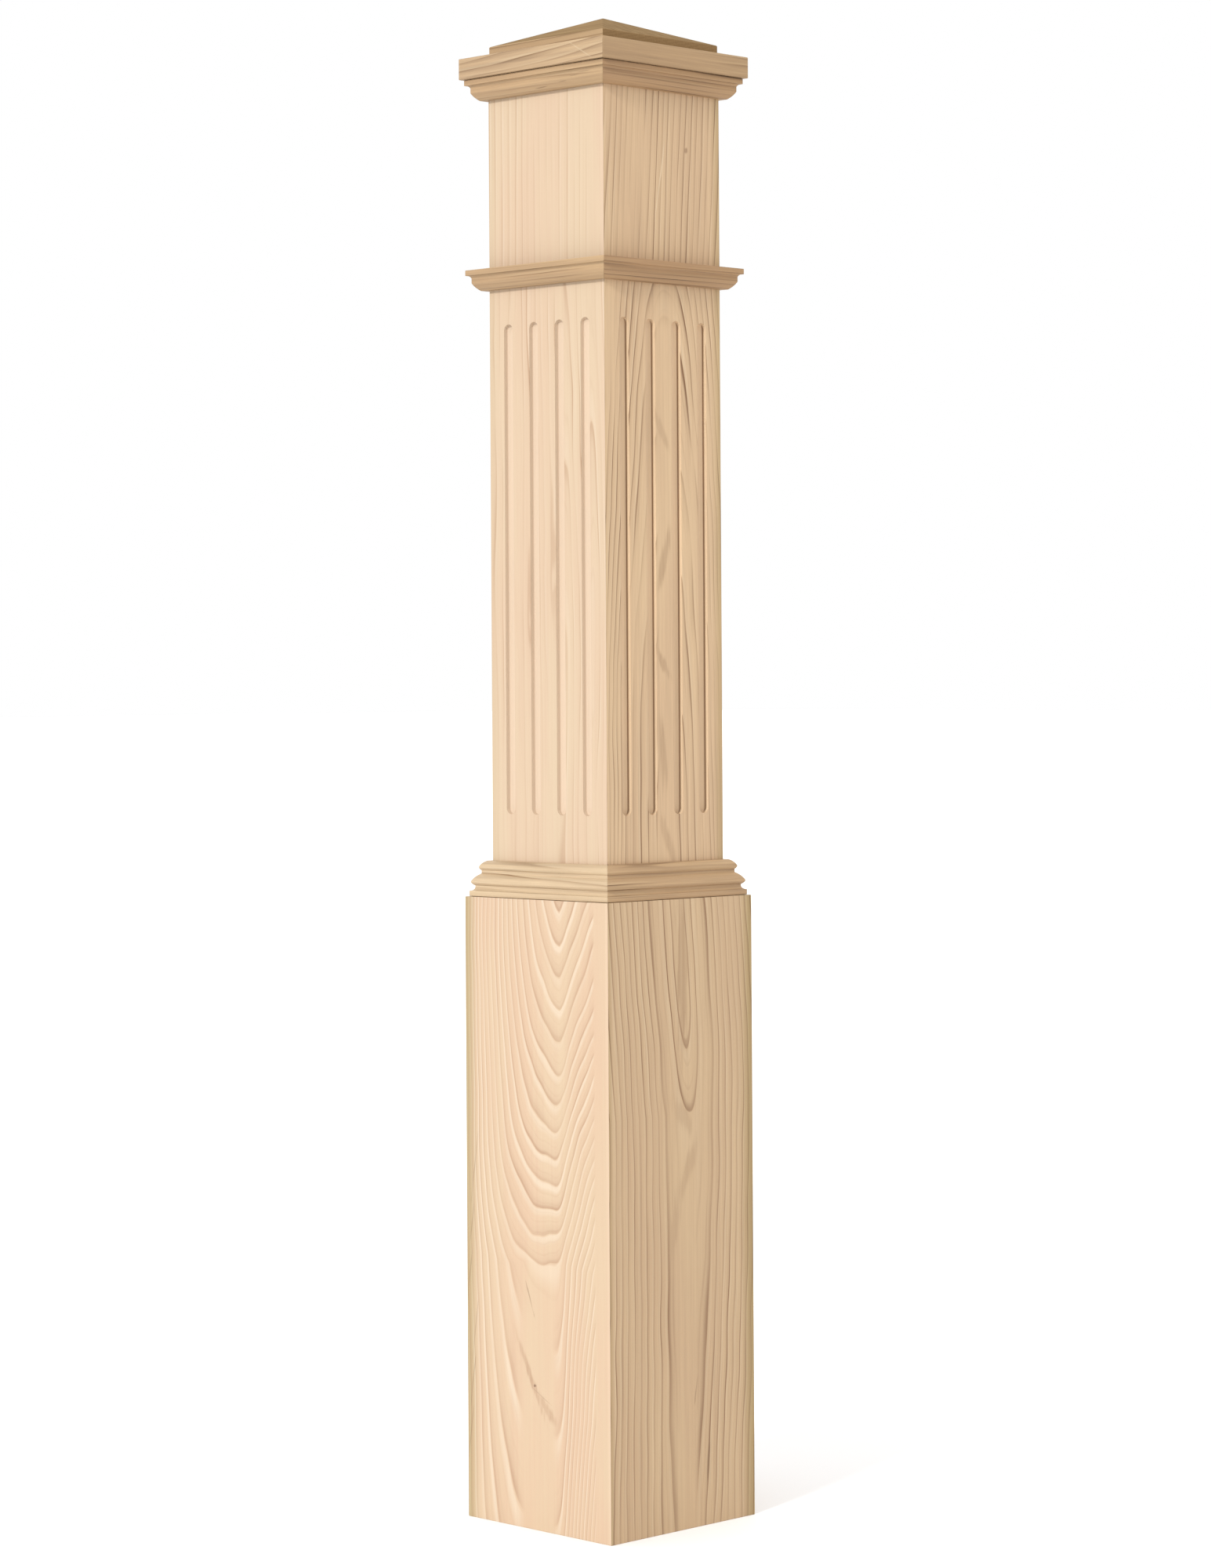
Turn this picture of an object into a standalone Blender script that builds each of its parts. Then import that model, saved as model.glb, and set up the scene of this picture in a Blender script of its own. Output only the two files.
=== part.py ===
"""Box newel post in pale wood, hollow, built up from mitred boards and mitred lengths of moulding.

Metres, +Z up. The origin is on the floor, on the post's own axis, and the front faces -Y.
All four sides are alike, so each family of pieces is shaped once, as the front one, and turned about the axis.
"""

import math

import bmesh
import bpy
from mathutils import Matrix

# Clearance left between pieces that touch
JOINT_GAP = 0.0003

# Shaft: mitred boards around a hollow, standing on the floor
SHAFT_WIDTH = 0.1278
SHAFT_BOARD = 0.01905

# Base: boards wrapped around the foot of the shaft
BASE_BOARD = 0.0152
BASE_HEIGHT = 0.4855

# Stretches of bare shaft above the base moulding and above the collar
FLUTED_STRETCH = 0.4462
PLAIN_BLOCK = 0.1324

# Flutes: round-ended grooves, stopped short of the mouldings, evenly spaced between the margins
FLUTE_COUNT = 4
FLUTE_MARGIN = 0.0213
FLUTE_WIDTH = 0.0096
FLUTE_DEPTH = 0.0045
FLUTE_STOP_BELOW_COLLAR = 0.0277
FLUTE_STOP_ABOVE_BASE = 0.0368

# Bed moulding, used as the collar and under the cap: fillet, cove, neck and bevel, from the top down
BED_PROJECTION = 0.0135
BED_NECK_PROJECTION = 0.0100
BED_FOOT_PROJECTION = 0.0047
BED_FILLET = 0.0046
BED_COVE = 0.0021
BED_NECK = 0.0037
BED_BEVEL = 0.0061

# Base moulding, from the top down: a small nosing, a large nosing, then a cove on a foot fillet
TOP_EDGE_PROJECTION = 0.0030
UPPER_NOSE_PROJECTION = 0.0080
UPPER_NOSE = 0.0051
UPPER_UNDERCUT = 0.0026
UPPER_NECK_PROJECTION = 0.0064
UPPER_NECK = 0.0024
LOWER_NOSE_PROJECTION = 0.0125
LOWER_NOSE = 0.0064
LOWER_UNDERCUT = 0.0030
LOWER_NECK_PROJECTION = 0.0099
LOWER_NECK = 0.0016
FOOT_COVE = 0.0025
FOOT_COVE_PROJECTION = 0.0127
FOOT_PROJECTION = 0.0132
FOOT_FILLET = 0.0044

# Cap: a mitred fascia frame, and a square block with a low pyramid top
CAP_OVERHANG = 0.0164
FASCIA_THICKNESS = 0.0164
CAP_BLOCK_INSET = 0.0006
CAP_BLOCK_RISER = 0.0092
PYRAMID_RISE = 0.0222

# Smoothness of the curved surfaces
BOW_STEPS = 4
FLUTE_SIDES = 16
SHARP_ANGLE = math.radians(30)
WELD_DISTANCE = 0.00001

# Levels above the floor, each the seat of what stands on it
BED_HEIGHT = BED_FILLET + BED_COVE + BED_NECK + BED_BEVEL
BASE_MOULDING_HEIGHT = (UPPER_NOSE + UPPER_UNDERCUT + UPPER_NECK + LOWER_NOSE + LOWER_UNDERCUT
                        + LOWER_NECK + FOOT_COVE + FOOT_FILLET)
SHAFT_FOOT_LEVEL = BASE_HEIGHT + BASE_MOULDING_HEIGHT
COLLAR_LEVEL = SHAFT_FOOT_LEVEL + FLUTED_STRETCH
CAP_MOULDING_LEVEL = COLLAR_LEVEL + BED_HEIGHT + PLAIN_BLOCK
FASCIA_LEVEL = CAP_MOULDING_LEVEL + BED_HEIGHT
CAP_BLOCK_LEVEL = FASCIA_LEVEL + FASCIA_THICKNESS

# Distances from the axis
SHAFT_FACE = SHAFT_WIDTH / 2
HOLLOW_FACE = SHAFT_FACE - SHAFT_BOARD

# The pieces of a family, in quarter turns anticlockwise from the front
SIDES = ("front", "right", "back", "left")

# Linear colours of the bare wood
BOARD_COLOUR = (0.78, 0.58, 0.38, 1.0)
BASE_COLOUR = (0.80, 0.60, 0.39, 1.0)
MOULDING_COLOUR = (0.62, 0.45, 0.28, 1.0)
CAP_COLOUR = (0.70, 0.51, 0.33, 1.0)
WOOD_ROUGHNESS = 0.6


def clear_scene():
    """Start from a scene with no objects."""
    for thing in list(bpy.data.objects):
        bpy.data.objects.remove(thing, do_unlink=True)


def new_collection(name):
    """A named collection in the scene."""
    collection = bpy.data.collections.new(name)
    bpy.context.scene.collection.children.link(collection)
    return collection


def wood(name, colour):
    """Bare wood as a Principled material."""
    material = bpy.data.materials.new(name)
    material.use_nodes = True
    shader = material.node_tree.nodes["Principled BSDF"]
    shader.inputs["Base Color"].default_value = colour
    shader.inputs["Roughness"].default_value = WOOD_ROUGHNESS
    shader.inputs["Metallic"].default_value = 0.0
    material.diffuse_color = colour
    return material


def bowed(start, end, bow):
    """Points from start to end, end included, on an arc that bows outwards by a share of its chord.

    A profile is drawn down its face, as (distance from the axis, level) points, so outwards is to the
    left of the way it runs. A negative bow makes a hollow.
    """
    run, fall = end[0] - start[0], end[1] - start[1]
    points = []
    for step in range(1, BOW_STEPS + 1):
        along = step / BOW_STEPS
        swell = 4 * bow * along * (1 - along)
        points.append((start[0] + run * along - fall * swell, start[1] + fall * along + run * swell))
    return points


def board_profile(inner, outer, low, high):
    """Section of a plain board, standing or lying flat, between two distances from the axis."""
    return [(inner, high), (outer, high), (outer, low), (inner, low)]


def shaft_profile():
    """Section of a shaft board, with a shallow seat cut in its face for the collar and the cap moulding."""
    top = FASCIA_LEVEL - JOINT_GAP
    seat = SHAFT_FACE - JOINT_GAP
    block_top = CAP_MOULDING_LEVEL - JOINT_GAP
    block_foot = COLLAR_LEVEL + BED_HEIGHT
    fluted_top = COLLAR_LEVEL - JOINT_GAP
    outline = [(HOLLOW_FACE, top), (seat, top), (seat, block_top), (SHAFT_FACE, block_top)]
    outline += [(SHAFT_FACE, block_foot), (seat, block_foot), (seat, fluted_top), (SHAFT_FACE, fluted_top)]
    return outline + [(SHAFT_FACE, 0.0), (HOLLOW_FACE, 0.0)]


def bed_profile(underside):
    """Section of the bed moulding: fillet, cove, neck and bevel."""
    back = SHAFT_FACE
    face = SHAFT_FACE + BED_PROJECTION
    neck = SHAFT_FACE + BED_NECK_PROJECTION
    foot = SHAFT_FACE + BED_FOOT_PROJECTION
    top = underside + BED_HEIGHT - JOINT_GAP
    fillet_end = underside + BED_BEVEL + BED_NECK + BED_COVE
    cove_end = underside + BED_BEVEL + BED_NECK
    neck_end = underside + BED_BEVEL
    outline = [(back, top), (face, top), (face, fillet_end)]
    outline += bowed((face, fillet_end), (neck, cove_end), -0.2)
    outline += [(neck, neck_end)]
    outline += bowed((neck, neck_end), (foot, underside), 0.06)
    return outline + [(back, underside)]


def base_moulding_profile(underside):
    """Section of the base moulding: two nosings with undercuts, a cove and a foot fillet."""
    back = SHAFT_FACE + JOINT_GAP
    top = underside + BASE_MOULDING_HEIGHT
    upper_nose = (SHAFT_FACE + UPPER_NOSE_PROJECTION, top - UPPER_NOSE)
    upper_neck = (SHAFT_FACE + UPPER_NECK_PROJECTION, upper_nose[1] - UPPER_UNDERCUT)
    upper_neck_end = (upper_neck[0], upper_neck[1] - UPPER_NECK)
    lower_nose = (SHAFT_FACE + LOWER_NOSE_PROJECTION, upper_neck_end[1] - LOWER_NOSE)
    lower_neck = (SHAFT_FACE + LOWER_NECK_PROJECTION, lower_nose[1] - LOWER_UNDERCUT)
    lower_neck_end = (lower_neck[0], lower_neck[1] - LOWER_NECK)
    cove_end = (SHAFT_FACE + FOOT_COVE_PROJECTION, lower_neck_end[1] - FOOT_COVE)
    foot = SHAFT_FACE + FOOT_PROJECTION
    seat = underside + JOINT_GAP
    outline = [(back, top), (SHAFT_FACE + TOP_EDGE_PROJECTION, top)]
    outline += bowed(outline[-1], upper_nose, 0.1)
    outline += bowed(upper_nose, upper_neck, 0.1)
    outline += [upper_neck_end]
    outline += bowed(upper_neck_end, lower_nose, 0.08)
    outline += bowed(lower_nose, lower_neck, 0.12)
    outline += [lower_neck_end]
    outline += bowed(lower_neck_end, cove_end, -0.15)
    return outline + [(foot, cove_end[1]), (foot, seat), (back, seat)]


def settled_mesh(thing, name):
    """A mesh of its own from an object's evaluated shape."""
    depsgraph = bpy.context.evaluated_depsgraph_get()
    mesh = bpy.data.meshes.new_from_object(thing.evaluated_get(depsgraph))
    mesh.name = name
    return mesh


def extruded_outline(name, outline):
    """A closed mesh of a flat outline drawn in X and Y, drawn out both ways along Z."""
    curve = bpy.data.curves.new(name, "CURVE")
    curve.dimensions = "2D"
    curve.fill_mode = "BOTH"
    curve.extrude = SHAFT_FACE
    spline = curve.splines.new("POLY")
    spline.points.add(len(outline) - 1)
    for point, (across, up) in zip(spline.points, outline):
        point.co = (across, up, 0.0, 1.0)
    spline.use_cyclic_u = True
    drawn = bpy.data.objects.new(name, curve)
    bpy.context.scene.collection.objects.link(drawn)
    mesh = settled_mesh(drawn, name)
    bpy.data.objects.remove(drawn, do_unlink=True)
    bpy.data.curves.remove(curve)
    return mesh


def mitred_length(name, outline):
    """The front piece of a family: its section drawn out along X, with its ends cut at 45 degrees."""
    mesh = extruded_outline(name, outline)
    shape = bmesh.new()
    shape.from_mesh(mesh)
    bmesh.ops.remove_doubles(shape, verts=shape.verts, dist=WELD_DISTANCE)
    for vert in shape.verts:
        out, up, side = vert.co
        half_length = out - JOINT_GAP / math.sqrt(2)
        vert.co = (math.copysign(half_length, -side), -out, up)
    bmesh.ops.recalc_face_normals(shape, faces=shape.faces)
    shape.to_mesh(mesh)
    shape.free()
    return mesh


def place_family(family, mesh, material, collection):
    """The four pieces of a family, each the front one turned about the axis."""
    mesh.materials.append(material)
    for turns, side in enumerate(SIDES):
        piece = bpy.data.objects.new(f"{family}_{side}", mesh)
        piece.rotation_euler = (0.0, 0.0, turns * math.pi / 2)
        collection.objects.link(piece)


def flute_cutter(name, low, high, across, collection):
    """A turned cutter with domed ends, whose axis stands just off the front face."""
    radius = FLUTE_WIDTH / 2
    profile = []
    for step in range(BOW_STEPS + 1):
        angle = math.pi / 2 * (1 - step / BOW_STEPS)
        profile.append((radius * math.cos(angle), high - radius + radius * math.sin(angle)))
    for step in range(BOW_STEPS + 1):
        angle = -math.pi / 2 * step / BOW_STEPS
        profile.append((radius * math.cos(angle), low + radius + radius * math.sin(angle)))
    mesh = bpy.data.meshes.new(name)
    verts = [(out, 0.0, up) for out, up in profile]
    edges = [(place, place + 1) for place in range(len(profile) - 1)]
    mesh.from_pydata(verts, edges, [])
    cutter = bpy.data.objects.new(name, mesh)
    collection.objects.link(cutter)
    turn = cutter.modifiers.new("turned", "SCREW")
    turn.steps = FLUTE_SIDES
    turn.render_steps = FLUTE_SIDES
    turn.use_merge_vertices = True
    turn.merge_threshold = WELD_DISTANCE
    cutter.data = settled_mesh(cutter, name)
    cutter.modifiers.clear()
    bpy.data.meshes.remove(mesh)
    cutter.data.transform(Matrix.Scale((FLUTE_DEPTH + JOINT_GAP) / radius, 4, (0.0, 1.0, 0.0)))
    cutter.location = (across, -SHAFT_FACE - JOINT_GAP, 0.0)
    cutter.hide_render = True
    cutter.display_type = "WIRE"
    return cutter


def fluted_board(name, collection):
    """A shaft board from the floor to the fascia, with its flutes cut into the face."""
    board = bpy.data.objects.new(name, mitred_length(name, shaft_profile()))
    bpy.context.scene.collection.objects.link(board)
    low = SHAFT_FOOT_LEVEL + FLUTE_STOP_ABOVE_BASE
    high = COLLAR_LEVEL - FLUTE_STOP_BELOW_COLLAR
    spread = SHAFT_FACE - FLUTE_MARGIN
    for number in range(FLUTE_COUNT):
        across = spread * (2 * number / (FLUTE_COUNT - 1) - 1)
        cut = board.modifiers.new(f"flute_{number + 1}", "BOOLEAN")
        cut.operation = "DIFFERENCE"
        cut.solver = "EXACT"
        cut.object = flute_cutter(f"flute_cutter_{number + 1}", low, high, across, collection)
    mesh = settled_mesh(board, name)
    bpy.data.objects.remove(board, do_unlink=True)
    mesh.shade_smooth()
    mesh.set_sharp_from_angle(angle=SHARP_ANGLE)
    return mesh


def cap_block_mesh(name):
    """A square block whose top face is drawn up at its centre into a low pyramid."""
    width = SHAFT_WIDTH - 2 * CAP_BLOCK_INSET
    low = CAP_BLOCK_LEVEL + JOINT_GAP
    high = CAP_BLOCK_LEVEL + CAP_BLOCK_RISER
    placed = Matrix.Translation((0.0, 0.0, (low + high) / 2)) @ Matrix.Diagonal((width, width, high - low, 1.0))
    shape = bmesh.new()
    bmesh.ops.create_cube(shape, size=1.0, matrix=placed)
    top = max(shape.faces, key=lambda face: face.calc_center_median().z)
    bmesh.ops.poke(shape, faces=[top], offset=PYRAMID_RISE)
    mesh = bpy.data.meshes.new(name)
    shape.to_mesh(mesh)
    shape.free()
    return mesh


def main():
    """Build the post."""
    clear_scene()
    post = new_collection("box_newel_post")
    cutters = new_collection("flute_cutters")

    board_wood = wood("shaft_wood", BOARD_COLOUR)
    place_family("shaft_board", fluted_board("shaft_board", cutters), board_wood, post)

    base_section = board_profile(SHAFT_FACE + JOINT_GAP, SHAFT_FACE + JOINT_GAP + BASE_BOARD, 0.0, BASE_HEIGHT)
    base_wood = wood("base_wood", BASE_COLOUR)
    place_family("base_board", mitred_length("base_board", base_section), base_wood, post)

    moulding_wood = wood("moulding_wood", MOULDING_COLOUR)
    for family, section in (("base_moulding", base_moulding_profile(BASE_HEIGHT)),
                            ("collar_moulding", bed_profile(COLLAR_LEVEL)),
                            ("cap_moulding", bed_profile(CAP_MOULDING_LEVEL))):
        place_family(family, mitred_length(family, section), moulding_wood, post)

    cap_wood = wood("cap_wood", CAP_COLOUR)
    fascia_section = board_profile(HOLLOW_FACE, SHAFT_FACE + CAP_OVERHANG, FASCIA_LEVEL, CAP_BLOCK_LEVEL)
    place_family("cap_fascia", mitred_length("cap_fascia", fascia_section), cap_wood, post)

    block = bpy.data.objects.new("cap_top_block", cap_block_mesh("cap_top_block"))
    block.data.materials.append(cap_wood)
    post.objects.link(block)


main()
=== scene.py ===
"""Looks for the box newel post: every CAD piece made again with eased edges and finer curves, in bare wood.

Metres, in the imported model's frame: +Z up, the origin on the floor on the post's axis, the front facing -Y.
Each family of pieces is shaped once, as the front one, and turned about the axis. A piece's object
coordinates are the front piece's own, so one set of wood formulas serves all four sides.
"""

import math

import bmesh
import bpy
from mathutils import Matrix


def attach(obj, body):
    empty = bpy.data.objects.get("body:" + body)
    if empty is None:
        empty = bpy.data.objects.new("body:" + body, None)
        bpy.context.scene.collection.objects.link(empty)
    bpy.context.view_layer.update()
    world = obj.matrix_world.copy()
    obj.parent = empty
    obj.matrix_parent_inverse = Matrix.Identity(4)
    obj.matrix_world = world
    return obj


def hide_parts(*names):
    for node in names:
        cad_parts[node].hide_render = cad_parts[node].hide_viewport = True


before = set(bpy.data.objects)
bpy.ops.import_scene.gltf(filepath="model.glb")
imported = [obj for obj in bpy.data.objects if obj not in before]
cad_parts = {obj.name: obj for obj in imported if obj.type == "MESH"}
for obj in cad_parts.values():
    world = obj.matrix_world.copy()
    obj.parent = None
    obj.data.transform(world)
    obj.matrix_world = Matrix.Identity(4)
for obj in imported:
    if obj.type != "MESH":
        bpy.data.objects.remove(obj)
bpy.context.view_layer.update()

# Levels and distances from the axis, as in the CAD source
SHAFT_FACE = 0.0639
HOLLOW_FACE = 0.04485
BASE_FACE = 0.0794
FASCIA_FACE = 0.0803
BLOCK_FACE = 0.0633
BASE_TOP = 0.4855
BASE_MOULDING_TOP = 0.5135
COLLAR_FOOT = 0.9597
CAP_MOULDING_FOOT = 1.1086
FASCIA_FOOT = 1.1251
FASCIA_TOP = 1.1415
RISER_TOP = 1.1507
APEX = 1.1729

# Bed moulding: collar and cap moulding, from the top down
BED_HEIGHT = 0.0165
BED_FACE = 0.0135
BED_NECK_FACE = 0.0100
BED_FOOT_FACE = 0.0047
BED_FILLET = 0.0046
BED_COVE = 0.0021
BED_NECK = 0.0037
BED_COVE_BOW = -0.2
BED_BEVEL_BOW = 0.06
BED_ARRIS = 0.0004

# Base moulding, from the top down: how far its forms stand out from the shaft, their heights and bows
TOP_EDGE_PROJECTION = 0.0030
UPPER_NOSE_PROJECTION = 0.0080
UPPER_NOSE = 0.0051
UPPER_UNDERCUT = 0.0026
UPPER_NOSE_BOW = 0.1
UPPER_NECK_PROJECTION = 0.0064
UPPER_NECK = 0.0024
LOWER_NOSE_PROJECTION = 0.0125
LOWER_NOSE = 0.0064
LOWER_NOSE_BOW = 0.08
LOWER_UNDERCUT = 0.0030
LOWER_UNDERCUT_BOW = 0.12
LOWER_NECK_PROJECTION = 0.0099
LOWER_NECK = 0.0016
FOOT_COVE_PROJECTION = 0.0127
FOOT_COVE = 0.0025
FOOT_COVE_BOW = -0.15
FOOT_PROJECTION = 0.0132
BASE_MOULDING_ARRIS = 0.0003

# Flutes
FLUTE_CENTRES = (-0.0426, -0.0142, 0.0142, 0.0426)
FLUTE_RADIUS = 0.0048
FLUTE_DEPTH = 0.0040
FLUTE_LOW = 0.5503
FLUTE_HIGH = 0.9320
FLUTE_RIM = 0.00035
FLUTE_SQUARENESS = 5.0
FLUTE_RINGS = 9
FLUTE_END_STEPS = 14

# Joints and edges
JOINT_GAP = 0.0003
SEAT_GAP = 0.00005
MITRE_GAP = 0.00006
ARRIS = 0.0005
EASE_STEPS = 3
CURVE_STEPS = 10
CURVED_STRIP = 0.0013
EASED_STRIP_AREA = 0.0002
WELD = 1e-7
CREASE = math.radians(40)

# Red, green and blue factors: burnt is for a wood's line colour, the others for its light colour
PINKER = (1.03, 0.965, 0.96)
YELLOWER = (0.985, 1.02, 0.99)
BRIGHTER = (1.1, 1.19, 1.28)
# Painted light that pales the wood in the flutes against their shade
PAINTED_FLUTE_LIGHT_FACTORS = (1.14, 1.17, 1.23)
BURNT = (0.5, 0.5, 0.5)

# Camera
LENS = 91.5
SENSOR_WIDTH = 36.0
CAMERA_SHIFT = (-0.0009, -0.0662)
CAMERA_AZIMUTH = math.radians(45.24)
CAMERA_ROLL = 0.00593
CAMERA_DISTANCE = 3.1232
CAMERA_HEIGHT = 0.6542

MM_PER_M = 1000.0
SIDES = ("front", "right", "back", "left")
NO_SPOTS = ((), (), (), ())
# No painted highlight or painted shade at a face's ends
NO_END_LIGHT = ((0.0, 1.0), (0.0, 1.0))


def tone(red, green, blue):
    """A linear colour from display values of 0 to 255."""
    shares = [value / 255 for value in (red, green, blue)]
    return tuple(s / 12.92 if s <= 0.04045 else ((s + 0.055) / 1.055) ** 2.4 for s in shares) + (1.0,)


def shifted(colour, factors):
    """A colour with its red, green and blue each multiplied, up to 1 at most."""
    return tuple(min(1.0, value * factor) for value, factor in zip(colour[:3], factors)) + (1.0,)


class Graph:
    """Adds shader nodes to a tree and gives back their sockets, so that formulas can be written as calls."""

    def __init__(self, tree):
        self.tree = tree

    def feed(self, socket, value):
        """Link a socket to a socket, or set its value."""
        if isinstance(value, bpy.types.NodeSocket):
            self.tree.links.new(value, socket)
        else:
            socket.default_value = value

    def node(self, kind, values=(), **settings):
        """A new node with its first inputs fed."""
        made = self.tree.nodes.new(kind)
        for key, value in settings.items():
            setattr(made, key, value)
        for socket, value in zip(made.inputs, values):
            self.feed(socket, value)
        return made

    def math(self, operation, *values):
        return self.node("ShaderNodeMath", values, operation=operation).outputs[0]

    def add(self, *values):
        total = values[0]
        for value in values[1:]:
            total = self.math("ADD", total, value)
        return total

    def less(self, first, second):
        return self.math("SUBTRACT", first, second)

    def times(self, *values):
        product = values[0]
        for value in values[1:]:
            product = self.math("MULTIPLY", product, value)
        return product

    def step(self, value, low, high):
        """A smooth rise from 0 at low to 1 at high, or a fall where high is the smaller."""
        values = (value, low, high, 0.0, 1.0)
        return self.node("ShaderNodeMapRange", values, interpolation_type="SMOOTHSTEP").outputs[0]

    def noise(self, point, detail=2.0, roughness=0.5):
        """Noise about zero, mostly within 0.25 of it."""
        made = self.node("ShaderNodeTexNoise")
        self.feed(made.inputs["Vector"], point)
        made.inputs["Scale"].default_value = 1.0
        made.inputs["Detail"].default_value = detail
        made.inputs["Roughness"].default_value = roughness
        return self.less(made.outputs["Fac"], 0.5)

    def chance(self, value):
        """A random number from 0 to 1 for each whole number."""
        made = self.node("ShaderNodeTexWhiteNoise", noise_dimensions="1D")
        self.feed(made.inputs["W"], value)
        return made.outputs["Value"]

    def mix(self, share, first, second, blend="MIX"):
        """A colour part of the way from first to second."""
        made = self.node("ShaderNodeMix", data_type="RGBA", blend_type=blend, clamp_factor=True)
        self.feed(made.inputs[0], share)
        self.feed(made.inputs[6], first)
        self.feed(made.inputs[7], second)
        return made.outputs[2]


class Grain:
    """The wood's coordinates in mm: across the board, depth from the post's axis, length along the grain."""

    def __init__(self, graph, along, seed):
        self.graph = graph
        self.seed = seed
        place = graph.node("ShaderNodeTexCoord")
        parts = graph.node("ShaderNodeSeparateXYZ", (place.outputs["Object"],)).outputs
        self.side = graph.times(parts[0], MM_PER_M)
        self.depth = graph.times(parts[1], -MM_PER_M)
        self.up = graph.times(parts[2], MM_PER_M)
        normal = graph.node("ShaderNodeSeparateXYZ", (place.outputs["Normal"],)).outputs
        self.faces_side = graph.math("ABSOLUTE", normal[0])
        self.faces_up = normal[2]
        self.across, self.length = (self.side, self.up) if along == "Z" else (self.up, self.side)
        self.point = graph.node("ShaderNodeCombineXYZ", (self.across, self.depth, self.length)).outputs[0]

    def noise(self, width, length, key, detail=2.0, roughness=0.5):
        """Noise drawn out along the grain, of a size across the grain and along it, in mm.

        The seed and the key choose which part of the noise is used.
        """
        shift = (self.seed * 7.31 + key * 3.17, key * 5.71, self.seed * 2.93 - key * 4.1)
        moved = self.graph.node("ShaderNodeVectorMath", operation="MULTIPLY_ADD")
        self.graph.feed(moved.inputs[0], self.point)
        moved.inputs[1].default_value = (1 / width, 1 / width, 1 / length)
        moved.inputs[2].default_value = shift
        return self.graph.noise(moved.outputs[0], detail, roughness)


def straight_rings(grain, spacing, lean=0.0, wander=3.0, ripple=0.5, slant=0.4, drift=1.5):
    """Ring number for straight grain: lines spacing mm apart, leaning and wandering a little."""
    graph = grain.graph
    offset = graph.add(
        grain.across,
        graph.times(grain.length, -lean),
        graph.times(grain.depth, slant),
        graph.times(grain.noise(90.0, 330.0, 1, 1.0), 4 * wander),
        graph.times(grain.noise(16.0, 90.0, 2, 1.0), 4 * ripple),
    )
    return graph.add(graph.times(offset, 1 / spacing), graph.times(grain.noise(28.0, 1500.0, 3), 2 * drift))


def wavy_offset(grain, centre, lean, level, wander, ripple):
    """Distance in mm to the right of a figure's own middle line, with slow and quick waves.

    The middle line is at centre on the given level, and leans by lean[0] below it and lean[1] above it.
    """
    graph = grain.graph
    above = graph.less(grain.length, level)
    return graph.add(
        grain.across,
        -centre,
        graph.times(graph.math("MINIMUM", above, 0.0), -lean[0]),
        graph.times(graph.math("MAXIMUM", above, 0.0), -lean[1]),
        graph.times(grain.noise(300.0, 140.0, 4, 1.0), 4 * wander),
        graph.times(grain.noise(22.0, 75.0, 5, 1.0), 4 * ripple),
    )


def grown_rings(grain, centre, level, behind, closing, widths, plain, lean=(0.0, 0.0), wander=2.5,
                ripple=0.7):
    """Ring number for flat-sawn grain: the rings are cylinders round a pith that runs behind the board.

    At the given level the pith is that distance behind the face, and it closes in by closing mm for each mm
    further up: one value below the level and one above it. The ring that reaches the face at that level has
    number 0. Rings inside it are widths[0] mm wide, the next one outwards is plain mm wide, and those beyond
    are widths[1] wide.
    """
    graph = grain.graph
    offset = wavy_offset(grain, centre, lean, level, wander, ripple)
    above = graph.less(grain.length, level)
    distance = graph.add(
        behind,
        graph.times(graph.math("MINIMUM", above, 0.0), -closing[0]),
        graph.times(graph.math("MAXIMUM", above, 0.0), -closing[1]),
    )
    distance = graph.math("MAXIMUM", distance, 3.0)
    radius = graph.math("SQRT", graph.add(graph.times(offset, offset), graph.times(distance, distance)))
    radius = graph.add(radius, graph.times(grain.noise(30.0, 90.0, 6, 1.0), 0.4 * widths[0]), -behind)
    beyond = graph.math("MAXIMUM", radius, 0.0)
    return graph.add(
        graph.times(graph.math("MINIMUM", radius, 0.0), 1 / widths[0]),
        graph.times(graph.math("MINIMUM", beyond, plain), 1 / plain),
        graph.times(graph.math("MAXIMUM", graph.less(beyond, plain), 0.0), 1 / widths[1]),
    )


def nested_arches(grain, centre, reach, steep, soft, spacing, sparse, right, wander=1.6, ripple=0.5):
    """Ring number for a figure of arches hung one in another, each upright at the left of a long V or U.

    A ring is named by the level of its lowest point. Left of the centre those levels fall from reach by
    steep[0] a mm and by steep[1] a square mm, and soft says how gently a ring bends from its side into its
    foot. Rings are spacing mm apart up the board. Below sparse[0] they are further apart, by 1 / sparse[1].
    Right of the centre further lines slant up, right[0] mm apart at the floor and more by right[1] a square
    mm of height.
    """
    graph = grain.graph
    offset = wavy_offset(grain, centre, (0.0, 0.0), 0.0, wander, ripple)
    length = graph.add(grain.length, graph.times(grain.noise(24.0, 60.0, 6, 1.0), 16.0))
    thinned = graph.add(sparse[0], graph.times(graph.less(length, sparse[0]), sparse[1]))
    foot = graph.math("MAXIMUM", length, thinned)
    left = graph.math("MINIMUM", offset, 0.0)
    flank = graph.add(reach, graph.times(left, steep[0]), graph.times(left, left, -steep[1]))
    lowest = graph.math("SMOOTH_MIN", foot, flank, soft)
    apart = graph.add(right[0], graph.times(grain.length, grain.length, right[1]))
    slanting = graph.math("DIVIDE", graph.math("SMOOTH_MAX", offset, 0.0, 9.0), apart)
    return graph.add(graph.times(graph.less(reach, lowest), 1 / spacing), slanting)


def blend_rings(grain, level, low, high):
    """One ring number below a level and another above it, for a change of figure that a moulding hides."""
    share = grain.graph.step(grain.length, level - 2.0, level + 2.0)
    return grain.graph.add(low, grain.graph.times(share, grain.graph.less(high, low)))


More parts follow.
